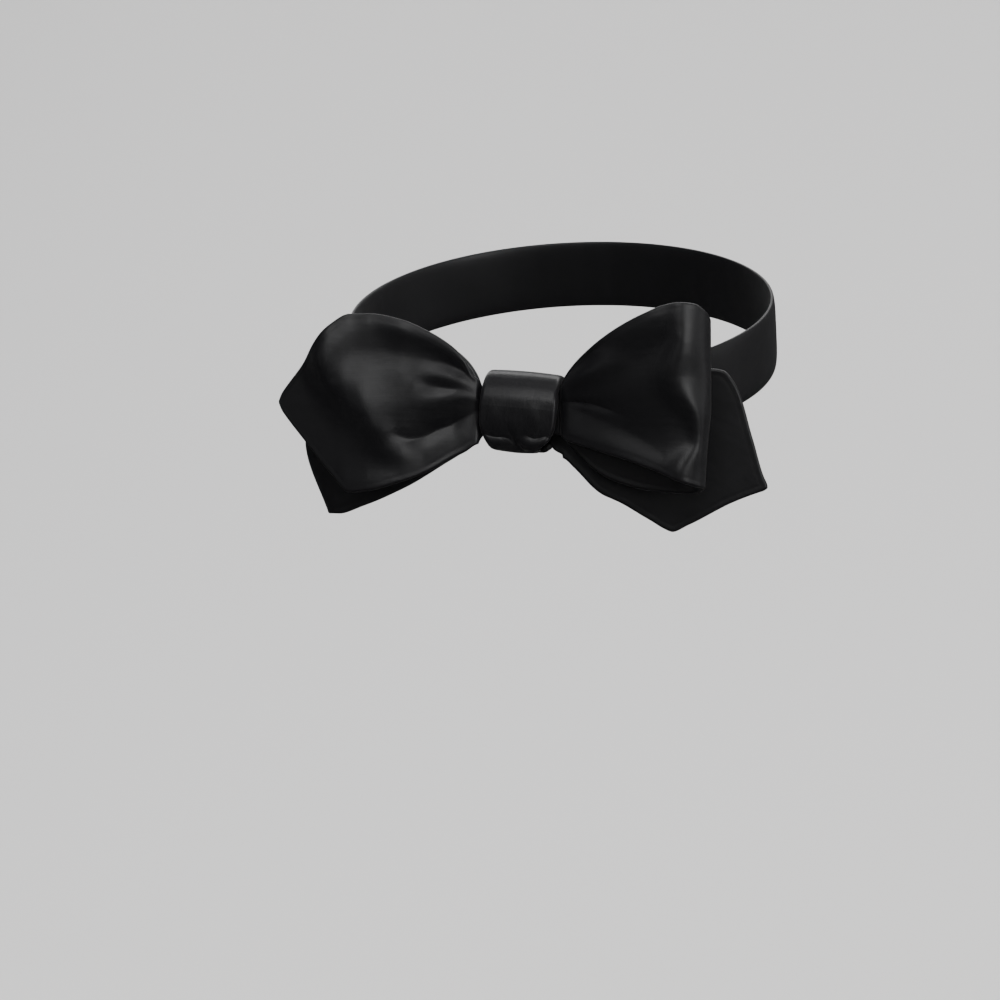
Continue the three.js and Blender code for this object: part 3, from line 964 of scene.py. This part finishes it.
class Tree:
    """Adds nodes to a tree: a type, its settings, and a value or a link for each named input."""

    def __init__(self, tree):
        self.tree = tree
        tree.nodes.clear()

    def add(self, kind, settings=None, **inputs):
        node = self.tree.nodes.new(kind)
        for name, value in (settings or {}).items():
            setattr(node, name, value)
        for name, value in inputs.items():
            name = name.replace("_", " ")
            slot = next(s for s in node.inputs if s.name == name and s.enabled)
            if isinstance(value, Number):
                self.tree.links.new(value.socket, slot)
            elif isinstance(value, bpy.types.NodeSocket):
                self.tree.links.new(value, slot)
            else:
                slot.default_value = value
        return node

    def number(self, socket):
        return Number(self.tree, socket)


def satin(name, colour, thread, roughness, thread_scale, pull, slub):
    """Black satin: long threads along the cloth, a soft uneven surface and a broad sheen. The pull is how
    strongly its threads are drawn, and the slub is how short its uneven places are."""
    material = bpy.data.materials.new(name)
    material.use_nodes = True
    tree = Tree(material.node_tree)
    coordinates = tree.add("ShaderNodeTexCoord")
    threads = tree.add("ShaderNodeMapping", Vector=coordinates.outputs["UV"])
    threads.inputs["Scale"].default_value = (260 * thread_scale, 2400 * thread_scale, 1)
    grain = tree.add("ShaderNodeTexNoise", Vector=threads.outputs[0], Scale=1.0, Detail=2.0, Roughness=0.6)
    slubs = tree.add("ShaderNodeMapping", Vector=coordinates.outputs["UV"])
    slubs.inputs["Scale"].default_value = (slub, 320, 1)
    streaks = tree.add("ShaderNodeTexNoise", Vector=slubs.outputs[0], Scale=1.0, Detail=3.0, Roughness=0.55)
    ripple = tree.add(
        "ShaderNodeTexNoise", Vector=coordinates.outputs["Object"], Scale=150.0, Detail=2.0, Roughness=0.45
    )
    fine = tree.number(grain.outputs["Fac"])
    streak = tree.number(streaks.outputs["Fac"])
    soft = tree.number(ripple.outputs["Fac"])

    tint = tree.add("ShaderNodeMix", {"data_type": "RGBA"})
    tree.tree.links.new((fine * 0.6 + streak * 0.4).socket, tint.inputs["Factor"])
    colours = [s for s in tint.inputs if s.type == "RGBA"]
    colours[0].default_value = (*colour, 1)
    colours[1].default_value = (*thread, 1)

    wave = tree.add("ShaderNodeBump", Strength=0.5, Distance=0.0003, Height=soft)
    weave = tree.add(
        "ShaderNodeBump",
        Strength=pull,
        Distance=0.00008,
        Height=fine * 0.3 + streak,
        Normal=wave.outputs[0],
    )
    shader = tree.add(
        "ShaderNodeBsdfPrincipled",
        Base_Color=next(s for s in tint.outputs if s.type == "RGBA"),
        Roughness=streak * 0.2 + fine * 0.1 + (roughness - 0.15),
        Normal=weave.outputs[0],
        Specular_IOR_Level=0.5,
        Sheen_Weight=0.03,
        Sheen_Roughness=0.5,
        Coat_Weight=0.12,
        Coat_Roughness=0.3,
    )
    output = tree.add("ShaderNodeOutputMaterial", Surface=shader.outputs[0])
    output.is_active_output = True
    return material


def neckband_tree(material):
    """Geometry nodes that sweep a flat rounded strip round the neck and gather it at the knot."""
    group = bpy.data.node_groups.new("Neckband", "GeometryNodeTree")
    group.interface.new_socket("Geometry", in_out="INPUT", socket_type="NodeSocketGeometry")
    for name in (
        "Half Width",
        "Half Depth",
        "Band Width",
        "Thickness",
        "Tilt",
        "Knot Side",
        "Spread",
        "Gathered Half",
    ):
        group.interface.new_socket(name, in_out="INPUT", socket_type="NodeSocketFloat")
    group.interface.new_socket("Geometry", in_out="OUTPUT", socket_type="NodeSocketGeometry")
    tree = Tree(group)
    given = tree.add("NodeGroupInput")

    def value(name):
        return tree.number(given.outputs[name])

    grid = tree.add("GeometryNodeMeshGrid", Size_X=1.0, Size_Y=1.0, Vertices_X=361, Vertices_Y=61)
    place = tree.add("ShaderNodeSeparateXYZ", Vector=tree.add("GeometryNodeInputPosition").outputs[0])
    around = (tree.number(place.outputs[0]) + 0.5) * (2 * math.pi)
    section = (tree.number(place.outputs[1]) + 0.5) * (2 * math.pi)
    sine, cosine = around.math("SINE"), around.math("COSINE")
    tilt_sine, tilt_cosine = value("Tilt").math("SINE"), value("Tilt").math("COSINE")
    x = value("Half Width") * sine
    depth = value("Half Depth") * cosine * -1

    beside = (x.math("ABSOLUTE") - value("Knot Side")) / value("Spread")
    beside = beside.math("MAXIMUM", 0.0).math("MINIMUM", 1.0)
    opened = beside * beside * (3 - beside * 2)
    opened = opened.math("MAXIMUM", cosine.math("LESS_THAN", 0.0))
    half = value("Gathered Half") + (value("Band Width") * 0.5 - value("Gathered Half")) * opened

    def vector(a, b, c):
        node = tree.add("ShaderNodeCombineXYZ")
        for slot, part in zip(node.inputs, (a, b, c)):
            if isinstance(part, Number):
                group.links.new(part.socket, slot)
            else:
                slot.default_value = part
        return node.outputs[0]

    def vectors(operation, *parts):
        node = tree.add("ShaderNodeVectorMath", {"operation": operation})
        for slot, part in zip(node.inputs, parts):
            group.links.new(part, slot)
        return node.outputs[0]

    def scaled(part, amount):
        return tree.add("ShaderNodeVectorMath", {"operation": "SCALE"}, Vector=part, Scale=amount).outputs[0]

    centre = vector(x, depth * tilt_cosine, depth * tilt_sine)
    width_way = vectors("NORMALIZE", vector(0.0, tilt_sine * opened * -1, 1 + (tilt_cosine - 1) * opened))
    run = vector(
        value("Half Width") * cosine,
        value("Half Depth") * sine * tilt_cosine,
        value("Half Depth") * sine * tilt_sine,
    )
    outward = vectors("NORMALIZE", vectors("CROSS_PRODUCT", run, width_way))

    def rounded(wave, power):
        return wave.math("ABSOLUTE").math("POWER", power) * wave.math("SIGN")

    across = rounded(section.math("COSINE"), 0.5)
    through = rounded(section.math("SINE"), 0.75) * value("Thickness") * 0.5
    gathers = (across * 8.5).math("COSINE") * (1 - opened) * 0.00022
    offset = vectors("ADD", scaled(width_way, across * half), scaled(outward, through + gathers))

    shaped = tree.add(
        "GeometryNodeSetPosition", Geometry=grid.outputs["Mesh"], Position=vectors("ADD", centre, offset)
    )
    flat_place = vector(tree.number(place.outputs[0]) + 0.5, across * half * 2.5 + 0.2, 0.0)
    mapped = tree.add(
        "GeometryNodeStoreNamedAttribute",
        {"data_type": "FLOAT2", "domain": "CORNER"},
        Geometry=shaped.outputs[0],
        Name="UVMap",
        Value=flat_place,
    )
    joined = tree.add("GeometryNodeMergeByDistance", Geometry=mapped.outputs[0], Distance=0.000004)
    smooth = tree.add("GeometryNodeSetShadeSmooth", Geometry=joined.outputs[0])
    real = tree.add("GeometryNodeRealizeInstances", Geometry=smooth.outputs[0])
    painted = tree.add("GeometryNodeSetMaterial", Geometry=real.outputs[0], Material=material)
    tree.add("NodeGroupOutput", Geometry=painted.outputs[0])
    return group


def swept_neckband(layout, name, material):
    carrier = bpy.data.objects.new(name, bpy.data.meshes.new(name))
    bpy.context.scene.collection.objects.link(carrier)
    modifier = carrier.modifiers.new("Neckband", "NODES")
    group = neckband_tree(material)
    modifier.node_group = group
    values = {
        "Half Width": layout.ring_width,
        "Half Depth": layout.ring_depth,
        "Band Width": layout.mm("band_width"),
        "Thickness": layout.mm("band_thickness"),
        "Knot Side": layout.side,
        "Spread": layout.mm("band_spread"),
        "Gathered Half": layout.mouth * 0.6,
    }
    for item in group.interface.items_tree:
        if item.in_out == "INPUT" and item.name in values:
            modifier[item.identifier] = values[item.name] * MILLIMETRE
        elif item.in_out == "INPUT" and item.name == "Tilt":
            modifier[item.identifier] = layout.sizes.band_tilt
    dependencies = bpy.context.evaluated_depsgraph_get()
    mesh = bpy.data.meshes.new_from_object(carrier.evaluated_get(dependencies))
    carrier.modifiers.remove(modifier)
    carrier.data = mesh
    points = np.empty(len(mesh.vertices) * 3)
    mesh.vertices.foreach_get("co", points)
    corners = np.array([(*face.vertices, face.vertices[0])[:4] for face in mesh.polygons])
    if signed_volume(points.reshape(-1, 3), corners) < 0:
        mesh.flip_normals()
    if not mesh.materials:
        mesh.materials.append(material)
    return carrier


# Pieces


def settings():
    scene = bpy.context.scene
    return Layout(scene.bow_tie_sizes), scene.bow_tie_finish


def material_named(name, roughness=0.0, thread_scale=1.0, pull=0.35, slub=24.0):
    finish = bpy.context.scene.bow_tie_finish
    return bpy.data.materials.get(name) or satin(
        name,
        finish.satin_colour,
        finish.sheen_colour,
        finish.roughness + roughness,
        thread_scale,
        pull,
        slub,
    )


def hand_over(piece, node, flat):
    """Attaches a piece to the root body and hides the solid it stands in for. The flat size of its cloth in
    millimetres is not used.
    """
    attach(piece, "root")
    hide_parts(node)
    tuple(side * MILLIMETRE for side in flat)


class BOW_TIE_OT_neckband(bpy.types.Operator):
    """Makes the neckband, a flat strip round the neck"""

    bl_idname = "bow_tie.neckband"
    bl_label = "Neckband"

    def execute(self, context):
        layout, _ = settings()
        band = swept_neckband(layout, "neckband_cloth", material_named("Band satin", 0.05, 0.8))
        hand_over(band, "neckband", (layout.mm("band_width"), 386))
        return {"FINISHED"}


class BOW_TIE_OT_knot(bpy.types.Operator):
    """Makes the knot's wrap, gathered under it"""

    bl_idname = "bow_tie.knot"
    bl_label = "Knot"

    def execute(self, context):
        layout, _ = settings()
        knot = knot_wrap(layout, "knot_cloth", material_named("Knot satin", pull=1.0, slub=90.0))
        hand_over(knot, "knot", (layout.mm("knot_width"), 62))
        return {"FINISHED"}


class BOW_TIE_OT_points(bpy.types.Operator):
    """Makes the pointed ends of the front and rear bow"""

    bl_idname = "bow_tie.points"
    bl_label = "Pointed Ends"

    def execute(self, context):
        layout, _ = settings()
        cloth = material_named("Bow satin")
        front = pointed_end(
            layout,
            "front_point_cloth",
            side=-1,
            table=FRONT_POINT,
            folds=FRONT_POINT_FOLDS,
            reach=layout.mm("front_point_reach"),
            width=layout.mm("front_point_width"),
            slot=layout.front,
            puff=layout.mm("front_point_puff"),
            turn=0.0,
            scale=(66.2 / layout.mm("front_point_reach"), 48 / layout.mm("front_point_width")),
            material=cloth,
        )
        hand_over(front, "front_point", (48, 76))
        rear = pointed_end(
            layout,
            "rear_point_cloth",
            side=1,
            table=REAR_POINT,
            folds=REAR_POINT_FOLDS,
            reach=layout.mm("rear_point_reach"),
            width=layout.mm("rear_point_width"),
            slot=layout.rear,
            puff=layout.mm("rear_point_sweep"),
            turn=layout.sizes.rear_point_tilt,
            scale=(68 / layout.mm("rear_point_reach"), 46 / layout.mm("rear_point_width")),
            material=cloth,
        )
        hand_over(rear, "rear_point", (46, 72))
        return {"FINISHED"}


class BOW_TIE_OT_loops(bpy.types.Operator):
    """Makes the folded loops of the front and rear bow"""

    bl_idname = "bow_tie.loops"
    bl_label = "Folded Loops"

    def execute(self, context):
        layout, _ = settings()
        cloth = material_named("Bow satin")
        front = folded_loop(
            layout,
            "front_loop_cloth",
            side=1,
            front=FRONT_LOOP_FRONT,
            back=FRONT_LOOP_BACK,
            plan=FRONT_LOOP_PLAN,
            front_folds=FRONT_LOOP_FOLDS,
            back_folds=(),
            reach=layout.mm("front_loop_reach"),
            height=layout.mm("front_loop_height"),
            puff=layout.mm("front_loop_puff"),
            roundness=layout.mm("front_loop_round"),
            slots=(layout.front, layout.middle),
            scale=(51 / layout.mm("front_loop_reach"), 51 / layout.mm("front_loop_height")),
            material=cloth,
        )
        hand_over(front, "front_loop", (50, 118))
        rear = folded_loop(
            layout,
            "rear_loop_cloth",
            side=-1,
            front=REAR_LOOP_FRONT,
            back=REAR_LOOP_BACK,
            plan=REAR_LOOP_PLAN,
            front_folds=(),
            back_folds=REAR_LOOP_FOLDS,
            reach=layout.mm("rear_loop_reach"),
            height=layout.mm("rear_loop_height"),
            puff=layout.mm("rear_loop_puff"),
            roundness=layout.mm("rear_loop_round"),
            slots=(layout.middle, layout.rear),
            scale=(60.5 / layout.mm("rear_loop_reach"), 51 / layout.mm("rear_loop_height")),
            material=cloth,
        )
        hand_over(rear, "rear_loop", (50, 128))
        return {"FINISHED"}


# Stage


def area_light(name, azimuth, elevation, distance, size, power, aim):
    """Adds a soft rectangular light that faces a place, from an azimuth and elevation in degrees."""
    data = bpy.data.lights.new(name, "AREA")
    data.shape = "RECTANGLE"
    data.size, data.size_y = size
    data.energy = power
    lamp = bpy.data.objects.new(name, data)
    bpy.context.scene.collection.objects.link(lamp)
    a, e = math.radians(azimuth), math.radians(elevation)
    back = Vector((math.sin(a) * math.cos(e), -math.cos(a) * math.cos(e), math.sin(e)))
    lamp.location = aim + back * distance
    lamp.rotation_euler = back.to_track_quat("Z", "Y").to_euler()


LIGHTS = (
    ("Front high", 10, 60, 1.3, (0.8, 0.5), 2.7),
    ("Front middle", 5, 34, 1.3, (0.8, 0.5), 3.7),
    ("Front low", 0, 10, 1.3, (0.8, 0.5), 0.4),
    ("Right", 58, 9, 1.3, (0.6, 0.8), 4.8),
    ("Right edge", 104, 5, 1.3, (0.6, 0.8), 1),
    ("Left", -50, 8, 1.3, (0.6, 0.6), 0.3),
    ("Back high", 170, 50, 1.4, (1.0, 0.6), 4),
    ("Back right", 215, 42, 1.4, (0.6, 0.9), 4),
    ("Back left", 140, 42, 1.4, (0.6, 0.9), 3),
)


class BOW_TIE_OT_stage(bpy.types.Operator):
    """Makes the floor and backdrop, the soft lights and the camera"""

    bl_idname = "bow_tie.stage"
    bl_label = "Stage"

    def execute(self, context):
        layout, finish = settings()
        scene = context.scene
        face = Vector(layout.centre + np.array([0.3, -layout.room / 2 - 2, 0])) * MILLIMETRE

        profile = [(-6, 0), (0.7, 0)]
        curve = np.linspace(0, math.pi / 2, 24)[1:]
        profile += [(0.7 + 0.6 * math.sin(t), 0.6 - 0.6 * math.cos(t)) for t in curve]
        profile += [(1.3, 3)]
        low = face.z - 0.26
        points = [(x, y, low + z) for y, z in profile for x in (-6, 6)]
        faces = [(2 * k, 2 * k + 1, 2 * k + 3, 2 * k + 2) for k in range(len(profile) - 1)]
        mesh = bpy.data.meshes.new("Backdrop")
        mesh.from_pydata(points, [], faces)
        paper = bpy.data.materials.new("Backdrop paper")
        paper.use_nodes = True
        tree = Tree(paper.node_tree)
        shader = tree.add(
            "ShaderNodeBsdfPrincipled",
            Base_Color=(*finish.backdrop_colour, 1),
            Roughness=0.9,
            Specular_IOR_Level=0.1,
        )
        tree.add("ShaderNodeOutputMaterial", Surface=shader.outputs[0])
        backdrop = new_object("backdrop", mesh, paper)
        backdrop.visible_glossy = False

        for name, azimuth, elevation, distance, size, power in LIGHTS:
            area_light(name, azimuth, elevation, distance, size, power, face)
        area_light("Backdrop light", 0, 90, 2.2, (4, 4), 45, face)
        bpy.data.objects["Backdrop light"].visible_glossy = False

        world = bpy.data.worlds.new("Studio")
        scene.world = world
        world.use_nodes = True
        sky = Tree(world.node_tree)
        light = sky.add("ShaderNodeBackground", Color=(0.9, 0.92, 1.0, 1), Strength=0.6)
        sky.add("ShaderNodeOutputWorld", Surface=light.outputs[0])
        world.cycles_visibility.glossy = False

        azimuth, elevation, distance = math.radians(11), math.radians(1), 1.0
        pixel = 0.267 * MILLIMETRE
        back = Vector(
            (
                math.sin(azimuth) * math.cos(elevation),
                -math.cos(azimuth) * math.cos(elevation),
                math.sin(elevation),
            )
        )
        right = Vector((math.cos(azimuth), math.sin(azimuth), 0))
        up = back.cross(right)
        aim = face - right * 18 * pixel - up * 88 * pixel
        data = bpy.data.cameras.new("Camera")
        data.sensor_width = 36
        data.lens = 36 * distance / (1000 * pixel)
        data.clip_start, data.clip_end = 0.05, 20
        camera = bpy.data.objects.new("Camera", data)
        scene.collection.objects.link(camera)
        camera.location = aim + back * distance
        camera.rotation_euler = Matrix((right, up, back)).transposed().to_euler()
        scene.camera = camera
        return {"FINISHED"}


class BOW_TIE_PT_panel(bpy.types.Panel):
    bl_label = "Bow Tie"
    bl_idname = "BOW_TIE_PT_panel"
    bl_space_type = "VIEW_3D"
    bl_region_type = "UI"
    bl_category = "Bow Tie"

    def draw(self, context):
        for operator in OPERATORS:
            self.layout.operator(operator.bl_idname)
        for group in (context.scene.bow_tie_sizes, context.scene.bow_tie_finish):
            box = self.layout.box()
            for name in group.__annotations__:
                box.prop(group, name)


OPERATORS = (
    BOW_TIE_OT_neckband,
    BOW_TIE_OT_knot,
    BOW_TIE_OT_points,
    BOW_TIE_OT_loops,
    BOW_TIE_OT_stage,
)
CLASSES = (BowTieSizes, BowTieFinish, *OPERATORS, BOW_TIE_PT_panel)


def register():
    for item in CLASSES:
        bpy.utils.register_class(item)
    bpy.types.Scene.bow_tie_sizes = PointerProperty(type=BowTieSizes)
    bpy.types.Scene.bow_tie_finish = PointerProperty(type=BowTieFinish)


def unregister():
    del bpy.types.Scene.bow_tie_finish
    del bpy.types.Scene.bow_tie_sizes
    for item in reversed(CLASSES):
        bpy.utils.unregister_class(item)


def main():
    register()
    bpy.ops.bow_tie.neckband()
    bpy.ops.bow_tie.knot()
    bpy.ops.bow_tie.points()
    bpy.ops.bow_tie.loops()
    bpy.ops.bow_tie.stage()


if __name__ == "__main__":
    main()
